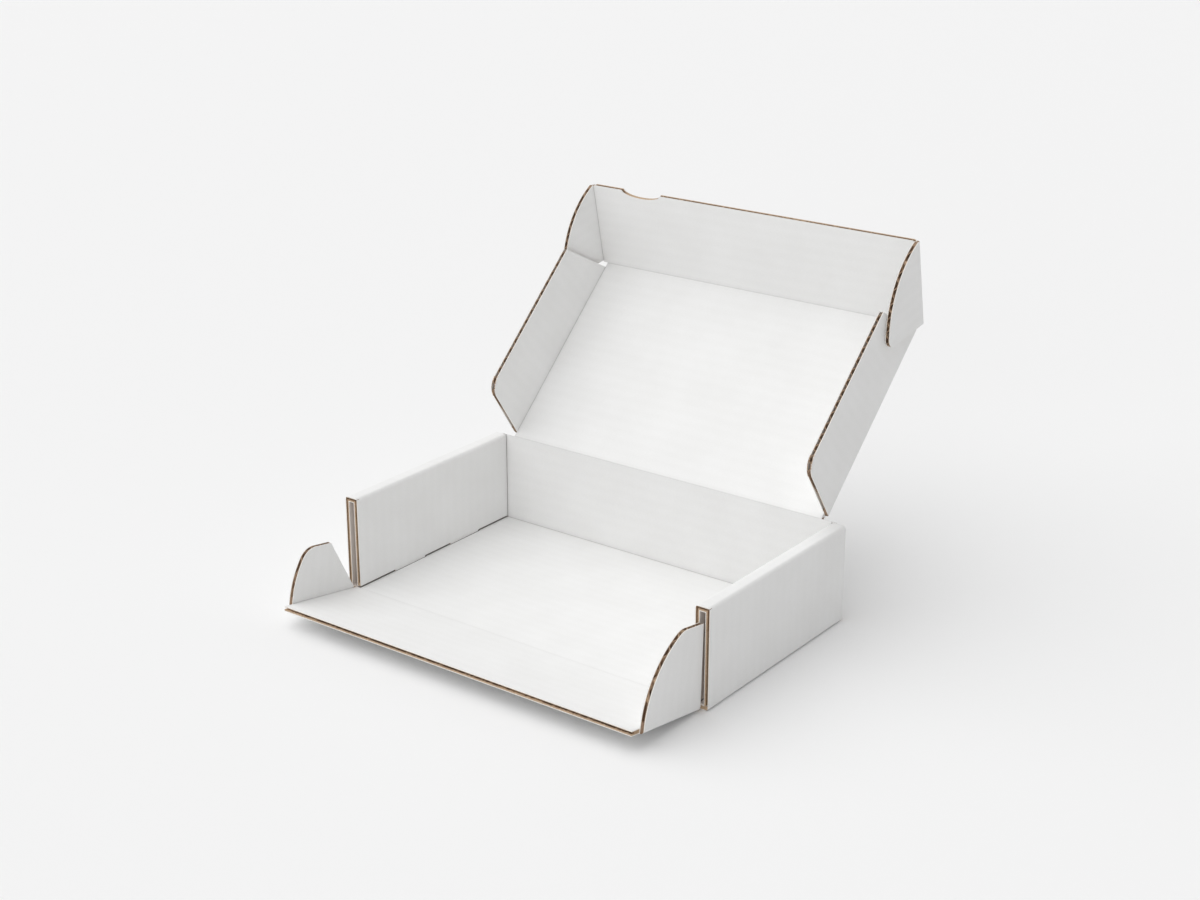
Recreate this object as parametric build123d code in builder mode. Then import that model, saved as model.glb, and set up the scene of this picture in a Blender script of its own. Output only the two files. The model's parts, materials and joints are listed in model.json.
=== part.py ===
from build123d import *
import os
from math import asin, atan2, degrees

# Corrugated mailer box: one die-cut sheet of fluted board, folded and locked without glue, shown open.
# Millimetres. The origin is the centre of the underside, with +X to the right, -Y to the front and +Z up.
# Panels that swing are solids of their own, and each starts a hair away from its score line.

# The whole box
box_width = 230.0  # over the outer faces of the two rolled side walls
box_depth = 128.0  # outer face of the closed front wall to outer face of the back wall
wall_height = 53.0  # floor to the top of the rolled side walls
board = 2.6  # thickness of the board
slide_gap = 0.3  # room between two layers that slide past each other
score_gap = 0.15  # from a score line to the edge of each panel that meets it
fold_radius = 2.0  # outside of a folded corner
crease_radius = 0.4  # inside of a folded corner
overrun = 5.0  # how far a cutting shape passes the surface

# The fluted core, open wherever the die cuts across it
liner = 0.4  # each outer paper layer
medium = 0.35  # the waved paper between them
flute_pitch = 6.5
flute_foot = 3.9  # width of a channel at the liner it stands on
flute_crest = 1.7  # and at its narrow side
crush_length = 3.2  # board pressed flat beside a score line
open_edge_depth = 2.2  # where the die cuts along a flute
open_edge_height = 1.0
open_edge_offset = 0.3  # its middle, off the middle of the board towards the inner face

# How far the box stands open
front_rise = 9.0  # degrees, front wall above level
lid_lean = 47.0  # degrees, lid behind upright
tuck_spread = 31.0  # degrees, tuck flap past square to the lid

# Rolled side walls, with their locking tabs
seam_gap = 0.9  # between the foot of the inner layer and the base
tab_length = 24.0
tab_corner = 3.0
tab_lift = 0.3  # tab end above the underside
tab_gap = 0.4  # round a tab in its slot
tab_place_shares = (0.32, 0.69)  # tab centres, as shares of the wall's length from the front

# Back dust flaps, held in the hollow side walls
back_flap_length = 34.0
back_flap_taper = 9.0

# Front wall and its dust flaps
front_ear_toe = 2.0
# Height, place of the top edge's rear end, radii at its front and rear ends, as shares of the reach
front_ear_left_shares = (0.59, 0.46, 0.21, 0.125)
front_ear_right_shares = (0.88, 0.15, 0.23, 0.06)
panel_corner = 1.2

# Lid side flaps
lid_flap_width = 38.0
lid_flap_root_inset = 3.0
lid_flap_rear_slant = 6.0
lid_flap_front_slant = 14.0
lid_flap_rear_corner = 9.0
lid_flap_front_corner = 8.0

# Tuck flap, its rounded ears and the thumb notch
tuck_foot_gap = 2.2  # above the base when the box is closed
ear_wall_gap = 0.6  # between a tucked ear and the side wall
tuck_ear_width = 35.0
tuck_ear_toe = 1.0
tuck_ear_slant = 2.0
tuck_ear_crown = 23.5
tuck_ear_crown_place = 33.0
tuck_ear_tip_place = 8.0
tuck_ear_tip_corner = 5.0
notch_width = 26.0
notch_depth = 3.6
notch_from_left = 33.0  # notch centre from the left end of the tuck flap

# Worked-out sizes and places
roll_width = 3 * board + 2 * slide_gap  # outer layer, a dust flap between, inner layer
inner_width = box_width - 2 * roll_width
pocket_width = board + 2 * slide_gap
dust_crease_x = inner_width / 2 + board + slide_gap
front_crease_y = board - box_depth / 2
back_crease_y = box_depth / 2 - board
wall_front_y = front_crease_y + slide_gap
wall_back_y = back_crease_y - slide_gap
wall_length = wall_back_y - wall_front_y
lid_crease_z = wall_height + slide_gap
front_wall_length = lid_crease_z
front_ear_reach = wall_height - 2 * board - slide_gap
tuck_crease_x = inner_width / 2 - ear_wall_gap - board
flap_crease_x = tuck_crease_x - slide_gap - board
lid_length = back_crease_y - front_crease_y - board - slide_gap
tuck_length = lid_crease_z - board - tuck_foot_gap
hinge_bevel = board  # outer edges at the lid's score, so that the lid can fold right back
flute_height = board - 2 * liner - medium
flute_slope = degrees(atan2(flute_height, (flute_foot - flute_crest) / 2))
open_edge_top = board / 2 - open_edge_offset - open_edge_height / 2

os.makedirs("parts", exist_ok=True)

# Planes of the swinging panels: x along the score line, y away from it, z out of the inner face
front_level = Plane((0, front_crease_y, board), x_dir=(-1, 0, 0), z_dir=(0, 0, 1))
front_plane = front_level.rotated((-front_rise, 0, 0))
lid_plane = Plane((0, back_crease_y, lid_crease_z)).rotated((90 - lid_lean, 0, 0))
tuck_start = lid_plane.from_local_coords(Vector(0, lid_length, 0))
tuck_plane = Plane(tuck_start).rotated((180 - lid_lean - tuck_spread, 0, 0))


def side_plane(panel, crease_x):
    """The plane of a flap folded square up from one side of a panel."""
    return Plane(panel.from_local_coords(Vector(-crease_x, 0, 0)), x_dir=panel.y_dir, z_dir=panel.x_dir)


def flute_plane(flap):
    """The plane across a flap's flutes, past the crushed strip: x along the score line, y through the board."""
    return Plane(flap.from_local_coords(Vector(0, crush_length, 0)), x_dir=flap.x_dir, z_dir=flap.y_dir)


def flute_channels(middle, length, board_middle):
    """Draws the channels between the flutes, alternately standing on one liner and hanging from the other."""
    count = int(length / flute_pitch) + 1
    with Locations((middle, board_middle - medium / 2)):
        with GridLocations(flute_pitch, flute_pitch, count, 1):
            Trapezoid(flute_foot, flute_height, flute_slope)
    with Locations((middle + flute_pitch / 2, board_middle + medium / 2)):
        with GridLocations(flute_pitch, flute_pitch, count, 1):
            Trapezoid(flute_foot, flute_height, flute_slope, rotation=180)


# Tray: base, back wall, hollow side walls and back dust flaps, all one folded piece
with BuildPart() as tray:
    with BuildSketch(Plane.XZ.offset(-wall_front_y)) as channel:
        with Locations((0, wall_height / 2)):
            Rectangle(box_width, wall_height)
        fillet(channel.vertices(), fold_radius)
        with Locations((0, board + wall_height / 2)):
            Rectangle(inner_width, wall_height, mode=Mode.SUBTRACT)
        roll_edges = channel.vertices().group_by(Axis.Y)[-1].sort_by(Axis.X)[1:3]
        fillet(roll_edges, fold_radius)
        pocket_x = dust_crease_x + board / 2
        with Locations((-pocket_x, wall_height / 2), (pocket_x, wall_height / 2)):
            RectangleRounded(pocket_width, wall_height - 2 * board, crease_radius, mode=Mode.SUBTRACT)
        seam_width = pocket_x - inner_width / 2
        seam_x = inner_width / 2 + seam_width / 2
        with Locations((-seam_x, board + seam_gap / 2), (seam_x, board + seam_gap / 2)):
            Rectangle(seam_width, seam_gap, mode=Mode.SUBTRACT)
    extrude(amount=-wall_length)

    # Base and back wall
    with BuildSketch(Plane.YZ.offset(-dust_crease_x)) as back_section:
        with BuildLine():
            Polyline(
                (front_crease_y + score_gap, 0),
                (box_depth / 2, 0),
                (box_depth / 2, lid_crease_z - score_gap - hinge_bevel),
                (back_crease_y, lid_crease_z - score_gap),
                (back_crease_y, board),
                (front_crease_y + score_gap, board),
                close=True,
            )
        make_face()
        fillet(back_section.vertices().group_by(Axis.Y)[0].sort_by(Axis.X)[-1], fold_radius)
    extrude(amount=2 * dust_crease_x)

    # Slots in the base
    slot_x = (inner_width + board) / 2
    tab_y = [wall_front_y + share * wall_length for share in tab_place_shares]
    slot_places = [(side * slot_x, y) for side in (-1, 1) for y in tab_y]
    with BuildSketch(Plane.XY):
        with Locations(*slot_places):
            Rectangle(board + 2 * tab_gap, tab_length + 2 * tab_gap)
    extrude(amount=board, mode=Mode.SUBTRACT)

    # Tabs down into the slots
    tab_foot = board + seam_gap + overrun
    for side in (-1, 1):
        with BuildSketch(Plane.YZ.offset(side * slot_x)) as tabs:
            with Locations(*[(y, (tab_lift + tab_foot) / 2) for y in tab_y]):
                Rectangle(tab_length, tab_foot - tab_lift)
            chamfer(tabs.vertices().group_by(Axis.Y)[0], tab_corner / 2, tab_corner)
        extrude(amount=board / 2, both=True)

    # Back dust flaps and their bends round the corners
    for side in (-1, 1):
        with BuildSketch(Plane.YZ.offset(side * pocket_x)) as back_flap:
            flap_low = board + slide_gap + seam_gap
            flap_high = wall_height - board - slide_gap
            with BuildLine():
                Polyline(
                    (back_crease_y, flap_low),
                    (back_crease_y, flap_high),
                    (back_crease_y - back_flap_length, flap_high - back_flap_taper),
                    (back_crease_y - back_flap_length, flap_low + back_flap_taper),
                    close=True,
                )
            make_face()
        extrude(amount=board / 2, both=True)
        with BuildSketch(Plane.XY.offset(flap_low)):
            with BuildLine():
                bend = CenterArc((side * dust_crease_x, back_crease_y), board, 45 - side * 45, 90)
                Polyline(bend @ 0, (side * dust_crease_x, back_crease_y), bend @ 1)
            make_face()
        extrude(amount=flap_high - flap_low)

    # Open edges at the front ends of the rolled side walls
    for side in (-1, 1):
        outer_x = side * (box_width / 2 - open_edge_top - open_edge_height / 2)
        inner_x = side * (inner_width / 2 + open_edge_top + open_edge_height / 2)
        roll_z = wall_height - open_edge_top - open_edge_height / 2
        with BuildSketch(Plane.XZ.offset(-wall_front_y)):
            with BuildLine() as open_edge:
                Polyline((outer_x, board), (outer_x, roll_z), (inner_x, roll_z), (inner_x, 2 * board))
            trace(open_edge.edges(), line_width=open_edge_height)
        extrude(amount=-open_edge_depth, mode=Mode.SUBTRACT)
tray.part.label = "tray"
export_step(tray.part, "parts/tray.step")

# Front wall, folded down in front of the tray
with BuildPart() as front_wall:
    with BuildSketch(front_plane) as front_outline:
        with Locations((0, (score_gap + front_wall_length) / 2)):
            Rectangle(2 * (dust_crease_x - score_gap), front_wall_length - score_gap)
        fillet(front_outline.vertices().group_by(Axis.Y)[0], panel_corner)
    extrude(amount=-board)

    # Open free edge, cut along the flutes
    with BuildSketch(front_plane.offset(-open_edge_top)):
        with Locations((0, front_wall_length)):
            Rectangle(box_width, 2 * open_edge_depth)
    extrude(amount=-open_edge_height, mode=Mode.SUBTRACT)
front_wall.part.label = "front_wall"
export_step(front_wall.part, "parts/front_wall.step")


# Dust flap of the front wall: the round edge swings into the hollow side wall, under its roll
def right_hand_ear(ear_shares):
    height, heel_place, brow_radius, heel_radius = (front_ear_reach * share for share in ear_shares)
    root_angle = degrees(asin(score_gap / front_ear_reach))
    brow_angle = degrees(asin(height / front_ear_reach))
    with BuildPart() as ear:
        with BuildSketch(side_plane(front_plane, dust_crease_x)) as outline:
            with BuildLine():
                swing = CenterArc((0, 0), front_ear_reach, root_angle, brow_angle - root_angle)
                Polyline(swing @ 1, (heel_place, height), (front_ear_toe, score_gap), swing @ 0)
            make_face()
            heel, brow = outline.vertices().group_by(Axis.Y)[-1].sort_by(Axis.X)
            fillet(brow, brow_radius)
            fillet(heel, heel_radius)
        extrude(amount=-board)
        with BuildSketch(flute_plane(side_plane(front_plane, dust_crease_x))):
            flute_channels(front_ear_reach / 2, front_ear_reach, board / 2)
        extrude(amount=height, mode=Mode.SUBTRACT)
    return ear.part


with BuildPart() as front_ear_right:
    add(right_hand_ear(front_ear_right_shares))
front_ear_right.part.label = "front_ear_right"
export_step(front_ear_right.part, "parts/front_ear_right.step")

with BuildPart() as front_ear_left:
    mirror(right_hand_ear(front_ear_left_shares), about=Plane.YZ)
front_ear_left.part.label = "front_ear_left"
export_step(front_ear_left.part, "parts/front_ear_left.step")

# Lid, leaning back from the top of the back wall, with its side flaps folded square to it
with BuildPart() as lid:
    with BuildSketch(side_plane(lid_plane, 0)):
        with BuildLine():
            Polyline(
                (score_gap, 0),
                (lid_length - score_gap, 0),
                (lid_length - score_gap, -board),
                (score_gap + hinge_bevel, -board),
                close=True,
            )
        make_face()
    extrude(amount=flap_crease_x, both=True)

    # Side flaps and their bends
    flap_rear = lid_flap_root_inset
    flap_front = lid_length - lid_flap_root_inset
    for side in (-1, 1):
        with BuildSketch(side_plane(lid_plane, -side * flap_crease_x)) as flap_outline:
            with BuildLine():
                Polyline(
                    (flap_rear, 0),
                    (flap_rear + lid_flap_rear_slant, lid_flap_width),
                    (flap_front - lid_flap_front_slant, lid_flap_width),
                    (flap_front, 0),
                    close=True,
                )
            make_face()
            rear_corner, front_corner = flap_outline.vertices().group_by(Axis.Y)[-1].sort_by(Axis.X)
            fillet(rear_corner, lid_flap_rear_corner)
            fillet(front_corner, lid_flap_front_corner)
        extrude(amount=side * board)
        bend_start = lid_plane.from_local_coords(Vector(side * flap_crease_x, flap_rear, 0))
        with BuildSketch(Plane(bend_start, x_dir=lid_plane.x_dir, z_dir=lid_plane.y_dir)):
            with BuildLine():
                bend = CenterArc((0, 0), board, 45 - side * 45, 90)
                Polyline(bend @ 0, (0, 0), bend @ 1)
            make_face()
        extrude(amount=flap_front - flap_rear)
        with BuildSketch(flute_plane(side_plane(lid_plane, -side * flap_crease_x))):
            flute_channels(lid_length / 2, lid_length, -side * board / 2)
        extrude(amount=lid_flap_width, mode=Mode.SUBTRACT)
lid.part.label = "lid"
export_step(lid.part, "parts/lid.step")

# Tuck flap along the front of the lid, with a thumb notch in its free edge
with BuildPart() as tuck_flap:
    with BuildSketch(tuck_plane) as tuck_outline:
        with Locations((0, (score_gap + tuck_length) / 2)):
            Rectangle(2 * (tuck_crease_x - score_gap), tuck_length - score_gap)
        fillet(tuck_outline.vertices().group_by(Axis.Y)[-1], panel_corner)
        with Locations((notch_from_left - tuck_crease_x, tuck_length)):
            Ellipse(notch_width / 2, notch_depth, mode=Mode.SUBTRACT)
    extrude(amount=-board)

    # Open free edge, cut along the flutes
    with BuildSketch(tuck_plane.offset(-open_edge_top)):
        with Locations((0, tuck_length)):
            Rectangle(box_width, 2 * open_edge_depth)
    extrude(amount=-open_edge_height, mode=Mode.SUBTRACT)
tuck_flap.part.label = "tuck_flap"
export_step(tuck_flap.part, "parts/tuck_flap.step")

# Rounded ears of the tuck flap, outside the lid's side flaps
with BuildPart() as tuck_ear_left:
    with BuildSketch(side_plane(tuck_plane, tuck_crease_x)) as ear_outline:
        ear_tip = (tuck_ear_tip_place, tuck_ear_width)
        ear_crown = (tuck_ear_crown_place, tuck_ear_crown)
        with BuildLine():
            ThreePointArc((tuck_length, score_gap), ear_crown, ear_tip)
            Polyline(
                ear_tip,
                (tuck_ear_toe + tuck_ear_slant, tuck_ear_width),
                (tuck_ear_toe, score_gap),
                (tuck_length, score_gap),
            )
        make_face()
        ear_corner = ear_outline.vertices().group_by(Axis.Y)[-1].sort_by(Axis.X)[0]
        fillet(ear_corner, tuck_ear_tip_corner)
    extrude(amount=-board)
    with BuildSketch(flute_plane(side_plane(tuck_plane, tuck_crease_x))):
        flute_channels(tuck_length / 2, tuck_length, board / 2)
    extrude(amount=tuck_ear_width, mode=Mode.SUBTRACT)
tuck_ear_left.part.label = "tuck_ear_left"
export_step(tuck_ear_left.part, "parts/tuck_ear_left.step")

with BuildPart() as tuck_ear_right:
    mirror(tuck_ear_left.part, about=Plane.YZ)
tuck_ear_right.part.label = "tuck_ear_right"
export_step(tuck_ear_right.part, "parts/tuck_ear_right.step")
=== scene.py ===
import bpy
import json
from math import cos, degrees, pi, radians, sin, sqrt
from mathutils import Matrix, Vector

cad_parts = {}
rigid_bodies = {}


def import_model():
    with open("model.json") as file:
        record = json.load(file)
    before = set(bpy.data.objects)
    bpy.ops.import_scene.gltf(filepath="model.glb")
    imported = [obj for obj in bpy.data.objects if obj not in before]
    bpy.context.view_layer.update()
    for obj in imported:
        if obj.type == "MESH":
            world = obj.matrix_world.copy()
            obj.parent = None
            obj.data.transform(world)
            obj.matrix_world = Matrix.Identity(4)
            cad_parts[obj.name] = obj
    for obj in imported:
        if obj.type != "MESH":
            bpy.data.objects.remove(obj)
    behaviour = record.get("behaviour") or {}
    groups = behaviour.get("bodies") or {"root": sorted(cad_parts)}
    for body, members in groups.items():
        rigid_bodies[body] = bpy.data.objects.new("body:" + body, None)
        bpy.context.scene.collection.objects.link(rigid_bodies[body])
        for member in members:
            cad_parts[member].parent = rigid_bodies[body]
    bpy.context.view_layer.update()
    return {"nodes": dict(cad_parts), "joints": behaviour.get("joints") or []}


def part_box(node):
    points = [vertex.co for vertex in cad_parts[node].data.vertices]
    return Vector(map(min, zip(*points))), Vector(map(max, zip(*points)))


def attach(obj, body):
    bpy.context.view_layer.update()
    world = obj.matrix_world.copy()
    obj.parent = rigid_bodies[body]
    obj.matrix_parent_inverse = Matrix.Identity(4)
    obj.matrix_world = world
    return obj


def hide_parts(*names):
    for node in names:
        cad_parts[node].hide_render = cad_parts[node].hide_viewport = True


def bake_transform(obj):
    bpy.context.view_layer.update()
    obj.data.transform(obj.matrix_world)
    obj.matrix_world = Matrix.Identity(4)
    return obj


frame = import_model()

joints = {joint["name"]: joint for joint in frame["joints"]}
jointOf = {joint["child"]: joint["name"] for joint in frame["joints"]}
ears = ("front_ear_left", "front_ear_right", "tuck_ear_left", "tuck_ear_right")

# Board of the whole box, metres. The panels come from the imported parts.
sheet = {
    "board": 0.0026,
    "pitch": 0.0065,  # from one flute to the next
    "liner": 0.0004,  # white paper seen edge on, along both faces of the board
    "close": 0.00002,  # two places nearer than this are one
    "merge": 0.000001,
}
board = sheet["board"]
thin = sheet["liner"]
close = sheet["close"]


class Socket:
    # A node's output, so that shader maths reads as an expression
    def __init__(self, finish, link):
        self.finish = finish
        self.link = link

    def maths(self, operation, *values):
        return self.finish.node("ShaderNodeMath", {"operation": operation}, dict(enumerate(values)))

    def __add__(self, other):
        return self.maths("ADD", self, other)

    __radd__ = __add__

    def __sub__(self, other):
        return self.maths("SUBTRACT", self, other)

    def __rsub__(self, other):
        return self.maths("SUBTRACT", other, self)

    def __mul__(self, other):
        return self.maths("MULTIPLY", self, other)

    __rmul__ = __mul__

    def sine(self):
        return self.maths("SINE", self)

    def size(self):
        return self.maths("ABSOLUTE", self)

    def greater(self, other):
        return self.maths("MAXIMUM", self, other)

    # these give 1 where they hold, and 0 elsewhere
    def near(self, place, reach):
        return self.maths("COMPARE", self, place, reach)

    def above(self, limit):
        return self.maths("GREATER_THAN", self, limit)

    def below(self, limit):
        return self.maths("LESS_THAN", self, limit)

    def within(self, low, high):
        return self.above(low) * self.below(high)


class Finish:
    # A material or a world, and the method that adds its nodes
    def __init__(self, owner):
        owner.use_nodes = True
        self.owner = owner
        self.nodes = owner.node_tree.nodes
        self.links = owner.node_tree.links

    def node(self, kind, settings=None, inputs=None, output=0):
        made = self.nodes.new(kind)
        for key, value in (settings or {}).items():
            setattr(made, key, value)
        for key, value in (inputs or {}).items():
            self.feed(made.inputs[key], value)
        return Socket(self, made.outputs[output])

    def feed(self, target, value):
        if isinstance(value, Socket):
            self.links.new(value.link, target)
        else:
            target.default_value = value

    def surface(self, **sockets):
        shader = self.nodes["Principled BSDF"]
        for name, value in sockets.items():
            self.feed(shader.inputs[name.replace("_", " ")], value)
        return self.owner

    def place(self):
        # where a point is on the object, the same at every pose
        return self.node("ShaderNodeTexCoord", output="Object")

    def vector(self, operation, first, second=(0, 0, 0), output=0):
        return self.node("ShaderNodeVectorMath", {"operation": operation}, {0: first, 1: second}, output)

    def along(self, place, direction):
        return self.vector("DOT_PRODUCT", place, direction, output="Value")

    def noise(self, place, scale, detail, stretch=(1, 1, 1)):
        mapped = self.node("ShaderNodeMapping", {}, {"Vector": place, "Scale": stretch})
        return self.node("ShaderNodeTexNoise", {}, {"Vector": mapped, "Scale": scale, "Detail": detail})

    def bump(self, height, strength, distance):
        return self.node("ShaderNodeBump", {}, {"Strength": strength, "Distance": distance, "Height": height})

    def mix(self, share, first, second):
        # a Mix node's colours are its sockets 6 and 7, and come out of its third output
        return self.node("ShaderNodeMix", {"data_type": "RGBA"}, {0: share, 6: first, 7: second}, 2)


def newFinish(name):
    return Finish(bpy.data.materials.new(name))


# Which way each piece faces: read from the joints, from the tray outwards
def turned(joint, degreesTurned, direction):
    return Matrix.Rotation(radians(degreesTurned), 3, Vector(joint["axis"])) @ direction


sideways = Vector((1, 0, 0))
back = Vector((0, 1, 0))
up = Vector((0, 0, 1))
foldAngle = {name: -joint["range_deg"][0] for name, joint in joints.items()}
foldAngle["lid_hinge"] -= 90  # it also opens a quarter turn past flat
trayFacing = {"front_wall": -up, "lid": back}  # the tray's own outer faces at these two folds
outward = {}
for name in ("front_wall", "lid", "tuck_flap") + ears:
    joint = joints[jointOf[name]]
    start = trayFacing.get(name) or outward[joint["parent"]]
    outward[name] = turned(joint, foldAngle[joint["name"]], start)
spread = {"tray": back}  # across the flutes of each piece
for name in ("front_wall", "lid", "tuck_flap"):
    spread[name] = outward[name].cross(sideways).normalized()
for name in ears:
    spread[name] = spread[joints[jointOf[name]]["parent"]]

# The tray: two rolled side walls, each of an outer and an inner layer with a hollow between them
tray = {
    "rollWidth": 0.0084,  # a side wall over all its layers
    "rollTop": 0.053,
    "tabTop": 0.0035,  # foot of the inner layer, between its tabs
}
trayLow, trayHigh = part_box("tray")
outerFace = trayHigh.x
outerBack = outerFace - board
innerFace = outerFace - tray["rollWidth"]
innerBack = innerFace + board
rollUnder = tray["rollTop"] - board
wallBack = trayHigh.y
wallFace = wallBack - board


def trayPaper(finish, place):
    # round the hollow of a side wall, then its outer faces, then the base, but not the tabs' feet
    x = finish.along(place, sideways).size()
    z = finish.along(place, up)
    foot = x.within(innerFace, innerBack) * finish.along(place, back).above(trayLow.y + board)
    hollow = (x - outerBack).greater(innerBack - x).greater(board - z).greater(z - rollUnder)
    paper = hollow.near(0, thin).greater(x.near(outerFace, thin))
    paper = paper.greater(z.near(0, thin) - foot).greater(z.near(tray["rollTop"], thin))
    inside = x.near(innerFace, thin) * z.above(board)
    base = z.near(board, thin) * x.below(innerFace)
    return paper.greater(inside).greater(base)


def trayHollowShade(finish, place):
    # where painted shade goes: inside a rolled side wall, between its layers
    half = board / 2
    across = finish.along(place, sideways).size().within(innerFace + half, outerBack + half)
    upright = finish.along(place, up).within(half, rollUnder + half)
    return across * upright * finish.along(place, back).below(wallBack - half)


def traySlotShade(finish, place):
    # where painted shade goes: the part of each tab that stands in its slot, and the base under the inner
    # layer's foot
    x = finish.along(place, sideways).size()
    z = finish.along(place, up)
    sunk = z.within(close, board - close) * x.below(outerBack - thin)
    covered = z.near(board, close) * x.within(innerFace + close, innerBack)
    return sunk.greater(covered) * finish.along(place, back).below(wallFace)


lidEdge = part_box("lid")[1].x  # outer face of a side flap
lidSide = lidEdge - board


def lidPaper(finish, place):
    # the inner faces of the panel and its two side flaps, then the outer ones
    x = finish.along(place, sideways).size()
    depth = finish.along(place, outward["lid"]) - Vector(joints["lid_hinge"]["pos_m"]).dot(outward["lid"])
    paper = depth.greater(x - lidSide).near(0, thin)
    return paper.greater(depth.near(board, thin)).greater(x.near(lidEdge, thin))


def panelPaper(name):
    start = Vector(joints[jointOf[name]]["pos_m"]).dot(outward[name])

    def paperAt(finish, place):
        depth = finish.along(place, outward[name]) - start
        return depth.near(0, thin).greater(depth.near(board, thin))

    return paperAt


# White liner, the same paper on both faces of every piece, with painted shade along its folds
linerLook = {
    "white": (0.885, 0.885, 0.88, 1),
    "shade": (0.835, 0.833, 0.825, 1),  # where the fibres lie thinner
    "cloud": {"scale": 38.0, "detail": 5.0},
    "fibre": {"scale": 1100.0, "detail": 4.0},
    "wander": {"scale": 9.0, "detail": 2.0},  # how the flutes drift from straight lines
    "wanderReach": 2.5,
    "cloudTone": 0.65,
    "fibreTone": 0.35,
    "toneMiddle": 0.36,
    "contrast": 2.4,
    "washboard": 0.09,  # how far the flutes show through
    "cloudHeight": 0.6,
    "fibreHeight": 0.5,
    "waveHeight": 0.22,
    "bump": {"strength": 0.3, "distance": 0.00025},
    "roughness": 0.61,
    "fibreRoughness": 0.14,
    "score": (0.20, 0.19, 0.18, 1),  # painted shade down in a score line, a corner or a slot
    "scoreShades": ((0.0005, 0.30), (0.0026, 0.06)),  # width and share of the painted shade: the line in the score, the crushed strip beside it
    "hollow": (0.76, 0.70, 0.655, 1),  # painted shade and warm bounced light inside a rolled side wall
    "slotShadeShare": 0.85,  # how dark the painted shade is in the slots of the base, round the tabs
}
foldShade = {  # how dark the painted shade along each fold is, the others being 1
    "lid_hinge": 0.5,
    "front_wall_fold": 0.25,
    "tuck_fold": 0.7,
    "corner": 1.5,  # between the tray's back and side walls
}


def foldsOf(name):
    # each fold: a point on its inner crease, its direction and how dark its painted shade is
    folds = []
    for fold, joint in joints.items():
        if name in (joint["parent"], joint["child"]):
            folds.append((Vector(joint["pos_m"]), Vector(joint["axis"]), foldShade.get(fold, 1)))
    hinge = joints["lid_hinge"]["pos_m"]
    for side in (-1, 1):
        if name == "tray":
            folds.append((Vector((side * innerFace, wallFace, 0)), up, foldShade["corner"]))
        if name == "lid":
            folds.append((Vector((side * lidSide, hinge[1], hinge[2])), spread["lid"], 1))
    if name == "tray":
        folds.append((Vector((0, wallFace, board)), sideways, 1))
    return folds


# painted shade along the folds, darkest in the score line and fainter beside it
def scoreShade(finish, place, name):
    darkest = 0
    for point, direction, depth in foldsOf(name):
        away = finish.vector("SUBTRACT", place, point)
        distance = finish.vector("LENGTH", finish.vector("CROSS_PRODUCT", away, direction), output="Value")
        shade = 0
        for width, share in linerLook["scoreShades"]:
            smooth = {"interpolation_type": "SMOOTHSTEP"}
            limits = {"From Min": 0, "From Max": width, "To Min": share * depth, "To Max": 0}
            shade = finish.node("ShaderNodeMapRange", smooth, {"Value": distance, **limits}) + shade
        darkest = shade.greater(darkest)
    return darkest


def whiteLiner(name):
    finish = newFinish("white_" + name)
    place = finish.place()
    flutes = finish.along(place, spread[name])
    if name == "tray":  # the flutes of its back wall are level
        onWall = finish.along(place, back).above(wallFace - close)
        flutes = flutes + onWall * (finish.along(place, up) - flutes)
    wander = finish.noise(place, **linerLook["wander"])
    wave = (flutes * (2 * pi / sheet["pitch"]) + wander * linerLook["wanderReach"]).sine()
    cloud = finish.noise(place, **linerLook["cloud"])
    fibre = finish.noise(place, **linerLook["fibre"])
    grain = cloud * linerLook["cloudTone"] + fibre * linerLook["fibreTone"] - linerLook["toneMiddle"]
    tone = grain * linerLook["contrast"] + wave * linerLook["washboard"]
    white = finish.mix(tone, linerLook["shade"], linerLook["white"])
    # painted shade along the folds, and on the tray also in the hollows of its side walls and round its slots
    shadeShare = scoreShade(finish, place, name)
    if name == "tray":
        white = finish.mix(trayHollowShade(finish, place), white, linerLook["hollow"])
        shadeShare = shadeShare.greater(traySlotShade(finish, place) * linerLook["slotShadeShare"])
    height = fibre * linerLook["fibreHeight"] + cloud * linerLook["cloudHeight"]
    return finish.surface(
        Base_Color=finish.mix(shadeShare, white, linerLook["score"]),
        Roughness=fibre * linerLook["fibreRoughness"] + linerLook["roughness"],
        Normal=finish.bump(height + wave * linerLook["waveHeight"], **linerLook["bump"]),
    )


# Bare brown board at the cut edges, and the waved core paper in the open channels
kraftLook = {
    "light": (0.62, 0.46, 0.31, 1),
    "dark": (0.36, 0.24, 0.15, 1),
    "core": (0.19, 0.12, 0.08, 1),
    "linerTone": (0.82, 0.79, 0.74, 1),
    "fibre": {"scale": 900.0, "detail": 5.0},
    "patch": {"scale": 160.0, "detail": 3.0},
    "fibreTone": 0.6,
    "patchTone": 0.4,
    "toneMiddle": 0.3,
    "contrast": 2.2,
    "bump": {"strength": 0.5, "distance": 0.0003},
    "roughness": 0.82,
    "fibreRoughness": 0.12,
}
coreLook = {
    "fibre": {"scale": 900.0, "detail": 4.0},
    "fibreTone": 1.6,
    "toneMiddle": 0.3,
    "torn": {"scale": 700.0, "detail": 0.0, "stretch": (1, 0.4, 0.4)},  # bits of paper torn over a flute
    "tornPatch": {"scale": 24.0, "detail": 2.0},
    "tornMiddle": 1.04,
    "tornContrast": 10,
    "roughness": 0.83,
    "fibreRoughness": 0.1,
}


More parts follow.
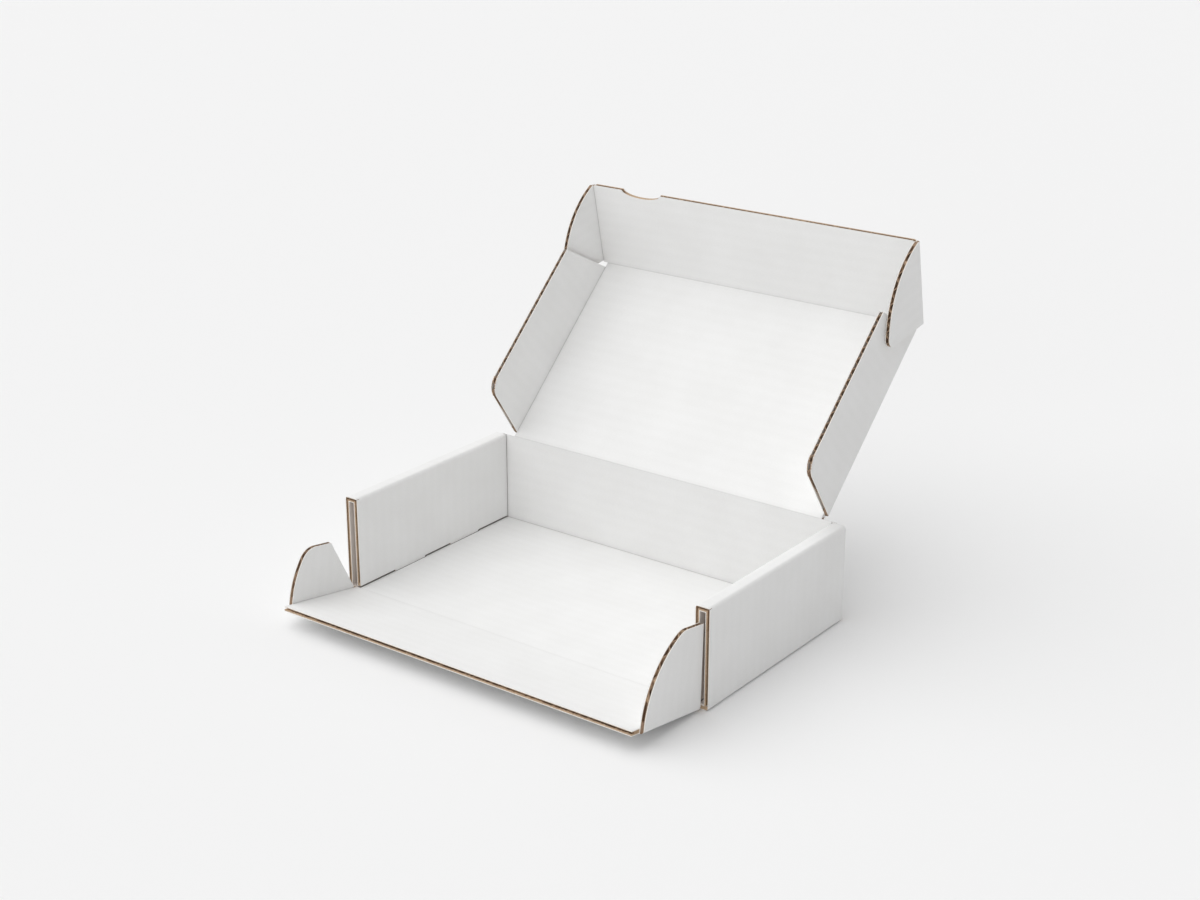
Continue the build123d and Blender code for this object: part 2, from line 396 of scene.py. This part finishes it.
def cutEdge(name, paperAt, tones=("dark", "light")):
    # paperAt tells where, across the cut, the white paper of the faces shows
    finish = newFinish("cut_" + name)
    place = finish.place()
    fibre = finish.noise(place, **kraftLook["fibre"])
    patch = finish.noise(place, **kraftLook["patch"])
    grain = fibre * kraftLook["fibreTone"] + patch * kraftLook["patchTone"] - kraftLook["toneMiddle"]
    brown = finish.mix(grain * kraftLook["contrast"], kraftLook[tones[0]], kraftLook[tones[1]])
    return finish.surface(
        Base_Color=finish.mix(paperAt(finish, place), brown, kraftLook["linerTone"]),
        Roughness=fibre * kraftLook["fibreRoughness"] + kraftLook["roughness"],
        Normal=finish.bump(fibre, **kraftLook["bump"]),
    )


def corePaper():
    finish = newFinish("core_paper")
    place = finish.place()
    fibre = finish.noise(place, **coreLook["fibre"])
    torn = finish.noise(place, **coreLook["torn"]) + finish.noise(place, **coreLook["tornPatch"])
    grain = fibre * coreLook["fibreTone"] - coreLook["toneMiddle"]
    tone = finish.mix(grain, kraftLook["core"], kraftLook["dark"])
    scraps = (torn - coreLook["tornMiddle"]) * coreLook["tornContrast"]
    return finish.surface(
        Base_Color=finish.mix(scraps, tone, kraftLook["light"]),
        Roughness=fibre * coreLook["fibreRoughness"] + coreLook["roughness"],
    )


core = corePaper()
liners = {name: whiteLiner(name) for name in frame["nodes"]}
acrossFlutes = ("core", "dark")  # where the knife went across the flutes the edge looks darker
edges = {"tray": cutEdge("tray", trayPaper), "lid": cutEdge("lid", lidPaper, acrossFlutes)}
for name in ("front_wall", "tuck_flap"):
    edges[name] = cutEdge(name, panelPaper(name))
for name in ears:
    edges[name] = cutEdge(name, panelPaper(name), acrossFlutes)
print("materials made")

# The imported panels, each given its white liners and its bare brown cut edges
panel = {
    "along": 0.999,  # a face looks one way if the cosine is above this
    "square": 0.01,  # and stands square to it below this
    "channel": 0.05,  # a channel's wall is turned more than this from the cut edges
    "smooth": 25,  # degrees
    "normalWeight": 100,
}


def near(value, *places):
    return any(abs(value - place) < close for place in places)


def flatLiner(name):
    normal = -outward[name]
    origin = Vector(joints[jointOf[name]]["pos_m"])

    def test(middle, facing):
        depth = (middle - origin).dot(normal)
        return abs(facing.dot(normal)) > panel["along"] and near(depth, 0, -board)

    return test


def lidLiner():
    flat = flatLiner("lid")

    def test(middle, facing):
        if abs(facing.x) > panel["along"]:
            return near(abs(middle.x), lidEdge, lidSide)
        rounded = abs(facing.x) > panel["square"] and abs(facing.dot(spread["lid"])) < panel["square"]
        return rounded or flat(middle, facing)

    return test


def trayLiner(middle, facing):
    if abs(facing.y) > panel["along"]:
        return middle.y > wallFace - close
    if abs(facing.z) > panel["along"]:
        return near(middle.z, 0, board, tray["rollTop"], rollUnder)
    if abs(facing.x) > panel["along"]:
        return near(abs(middle.x), outerFace, outerBack, innerFace, innerBack)
    return middle.z > tray["tabTop"] or middle.y > wallFace or abs(facing.y) < panel["square"]


def isChannel(facing, name):
    # the walls of the flutes' channels, against the cut edges, which stand square to the panel
    lidCut = name == "lid" and abs(facing.x) < panel["square"]
    return abs(facing.dot(outward[name])) > panel["channel"] and not lidCut


def isSlot(middle, facing):
    # the upright cut faces down in the slots of the base, brown cut board given the darker core paper as
    # painted shade
    inside = innerFace - 2 * thin < abs(middle.x) < outerBack
    low = abs(facing.z) < panel["square"] and middle.z < board
    return inside and low and middle.y > trayLow.y + board


def paperOf(face, name, isLiner):
    # the place of a face's material: liner, cut edge or core
    if isLiner(face.center, face.normal):
        return 0
    if name == "tray":
        return 2 if isSlot(face.center, face.normal) else 1
    return 2 if isChannel(face.normal, name) else 1


def evenNormals(piece):
    # flat faces stay flat beside small rounded ones
    weighted = piece.modifiers.new("weighted", "WEIGHTED_NORMAL")
    weighted.keep_sharp = True
    weighted.weight = panel["normalWeight"]
    bpy.ops.object.modifier_apply(modifier=weighted.name)


def dressPanel(name, isLiner):
    bpy.ops.object.select_all(action="DESELECT")
    piece = bpy.data.objects.new(name + "_board", frame["nodes"][name].data.copy())
    bpy.context.scene.collection.objects.link(piece)
    piece.select_set(True)
    bpy.context.view_layer.objects.active = piece
    bpy.ops.object.mode_set(mode="EDIT")
    bpy.ops.mesh.select_all(action="SELECT")
    bpy.ops.mesh.remove_doubles(threshold=sheet["merge"])
    bpy.ops.object.mode_set(mode="OBJECT")
    bpy.ops.mesh.customdata_custom_splitnormals_clear()
    piece.data.materials.clear()
    for material in (liners[name], edges[name], core):
        piece.data.materials.append(material)
    for face in piece.data.polygons:
        face.material_index = paperOf(face, name, isLiner)
    bpy.ops.object.shade_smooth_by_angle(angle=radians(panel["smooth"]))
    evenNormals(piece)
    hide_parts(name)
    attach(piece, name)


dressPanel("tray", trayLiner)
dressPanel("lid", lidLiner())
for name in ("front_wall", "tuck_flap") + ears:
    dressPanel(name, flatLiner(name))
print("panels finished")

# Bends: at each fold the liners run on from panel to panel, round the outside of the score line
bend = {
    "gap": 0.00015,  # from the score line to each panel's edge
    "steps": 12,
    "lidBevel": 45,  # degrees, both edges at the lid's fold
    "smooth": 40,  # degrees
    "endShare": 0.9,  # a face at the end of a bend looks along its axis by more than this
}


def foldReach(joint):
    # how far the score line runs, from the vertices that both panels have beside it
    origin = Vector(joint["pos_m"])
    axis = Vector(joint["axis"])
    spans = []
    for name in (joint["parent"], joint["child"]):
        places = [vertex.co - origin for vertex in frame["nodes"][name].data.vertices]
        creased = [place for place in places if (place - axis * place.dot(axis)).length < 2 * bend["gap"]]
        along = [place.dot(axis) for place in creased]
        spans.append((min(along), max(along)))
    return max(span[0] for span in spans), min(span[1] for span in spans)


def roundLidBend(piece, origin, axis, first, sweep, travel):
    # the bend's outside lies flush with the two outer faces and is round between them
    last = Matrix.Rotation(sweep, 3, axis) @ first
    chord = last - first
    bevel = radians(bend["lidBevel"])
    for vertex in piece.data.vertices:
        place = vertex.co - origin
        place -= axis * place.dot(axis)
        if place.length < board / 2:
            continue
        passed = 0.5 + (place.normalized() - (first + last) / 2).dot(chord.normalized()) / chord.length
        share = min(max(passed, 0), 1)
        shut = first.angle(place) + travel * share * share * (3 - 2 * share)
        past = max(bevel - shut, shut - (sweep + travel - bevel), 0)
        radius = board / cos(min(past, bevel))
        vertex.co += place.normalized() * (radius - place.length)


def buildBend(name):
    joint = joints[name]
    origin = Vector(joint["pos_m"])
    axis = Vector(joint["axis"]).normalized()
    outer = trayFacing.get(joint["child"]) or outward[joint["parent"]]
    isLid = name == "lid_hinge"
    sweep = radians(-joint["range_deg"][0])
    first = turned(joint, -bend["lidBevel"], outer) if isLid else outer
    width = board * (sqrt(2) if isLid else 1)
    onward = axis.cross(outer)
    low, high = foldReach(joint)
    bpy.ops.object.select_all(action="DESELECT")
    bpy.ops.mesh.primitive_plane_add(size=1)
    piece = bpy.context.object
    piece.name = name + "_bend"
    centre = origin + axis * (low + high) / 2 + first * width / 2 - onward * bend["gap"]
    sides = Matrix((axis * (high - low), first * width, axis.cross(first))).transposed()
    piece.matrix_world = Matrix.Translation(centre) @ sides.to_4x4()
    bpy.ops.object.transform_apply(location=True, rotation=True, scale=True)
    bpy.ops.object.mode_set(mode="EDIT")
    bpy.ops.mesh.select_all(action="SELECT")
    bpy.ops.mesh.extrude_region_move(TRANSFORM_OT_translate={"value": onward * bend["gap"]})
    bpy.ops.mesh.spin(steps=bend["steps"], angle=-sweep, center=origin, axis=axis)
    lastStep = turned(joint, foldAngle[name], onward)
    bpy.ops.mesh.extrude_region_move(TRANSFORM_OT_translate={"value": lastStep * bend["gap"]})
    bpy.ops.mesh.select_all(action="SELECT")
    bpy.ops.mesh.remove_doubles(threshold=sheet["merge"])
    bpy.ops.mesh.normals_make_consistent(inside=False)
    bpy.ops.object.mode_set(mode="OBJECT")
    if isLid:
        roundLidBend(piece, origin, axis, first, sweep, radians(joint["range_deg"][1]))
    piece.data.materials.append(liners[joint["parent"]])
    piece.data.materials.append(edges[joint["child"]])
    for face in piece.data.polygons:
        face.material_index = 1 if abs(face.normal.dot(axis)) > bend["endShare"] else 0
    bpy.ops.object.shade_smooth_by_angle(angle=radians(bend["smooth"]))
    last = turned(joint, degrees(sweep), first)
    origin + first * width
    origin + last * width
    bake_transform(piece)


for name in joints:
    buildBend(name)
print("bends finished")

# Camera at the photograph's viewing angle
camera = {
    "lens": 60.2,
    "sensor": 36.0,
    "yaw": 36.91,  # degrees, looking towards the back and left
    "pitch": 20.76,  # degrees, looking down
    "distance": 1.0154,
    "target": (0.00576, 0, 0.08767),
}


def placeCamera():
    yaw = radians(camera["yaw"])
    pitch = radians(camera["pitch"])
    forward = Vector((-sin(yaw) * cos(pitch), cos(yaw) * cos(pitch), -sin(pitch)))
    bpy.ops.object.camera_add(location=Vector(camera["target"]) - forward * camera["distance"])
    made = bpy.context.object
    made.rotation_euler = forward.to_track_quat("-Z", "Y").to_euler()
    made.data.lens = camera["lens"]
    made.data.sensor_width = camera["sensor"]
    bpy.context.scene.camera = made


placeCamera()

# Pale floor, bare backdrop and soft studio light
studio = {
    "floorSize": 12.0,
    "floorGap": 0.0003,  # under the box, so that the two never share a plane
    "floor": (0.90, 0.90, 0.90, 1),
    "floorRoughness": 0.9,
    "backdrop": (0.80, 0.80, 0.815, 1),
    "daylight": (1, 1, 1, 1),
    "world": 0.415,
    "lamps": {
        "key": {"strength": 1.80, "angle": 90, "from": (-0.43, -0.15, 0.89)},
        "top": {"strength": 0.12, "angle": 120, "from": (0, 0, 1)},
        "fill": {"strength": 0.54, "angle": 45, "from": (0.28, -0.95, 0.11)},
    },
}


def layFloor():
    bpy.ops.mesh.primitive_plane_add(size=studio["floorSize"], location=(0, 0, -studio["floorGap"]))
    floor = bpy.context.object
    floor.name = "floor"
    pale = newFinish("pale_floor").surface(Base_Color=studio["floor"], Roughness=studio["floorRoughness"])
    floor.data.materials.append(pale)


def lightWorld():
    # the camera and gloss see a bare backdrop, and the box is lit by even daylight
    finish = Finish(bpy.data.worlds.new("studio"))
    bpy.context.scene.world = finish.owner
    light = finish.nodes["Background"]
    finish.feed(light.inputs["Color"], studio["daylight"])
    finish.feed(light.inputs["Strength"], studio["world"])
    daylight = Socket(finish, light.outputs["Background"])
    backdrop = finish.node("ShaderNodeBackground", {}, {"Color": studio["backdrop"]})
    seen = finish.node("ShaderNodeLightPath", output="Is Camera Ray")
    for rays in ("Is Glossy Ray", "Is Transmission Ray"):
        seen = seen.greater(finish.node("ShaderNodeLightPath", output=rays))
    choice = finish.node("ShaderNodeMixShader", {}, {"Fac": seen, 1: daylight, 2: backdrop})
    finish.feed(finish.nodes["World Output"].inputs["Surface"], choice)


def hangLamps():
    for name, lamp in studio["lamps"].items():
        bpy.ops.object.light_add(type="SUN", location=lamp["from"])
        made = bpy.context.object
        made.name = name
        made.data.energy = lamp["strength"]
        made.data.angle = radians(lamp["angle"])
        made.rotation_euler = (-Vector(lamp["from"])).to_track_quat("-Z", "Y").to_euler()


layFloor()
lightWorld()
hangLamps()
bpy.context.scene.view_settings.view_transform = "Standard"
print("camera, floor and light placed")
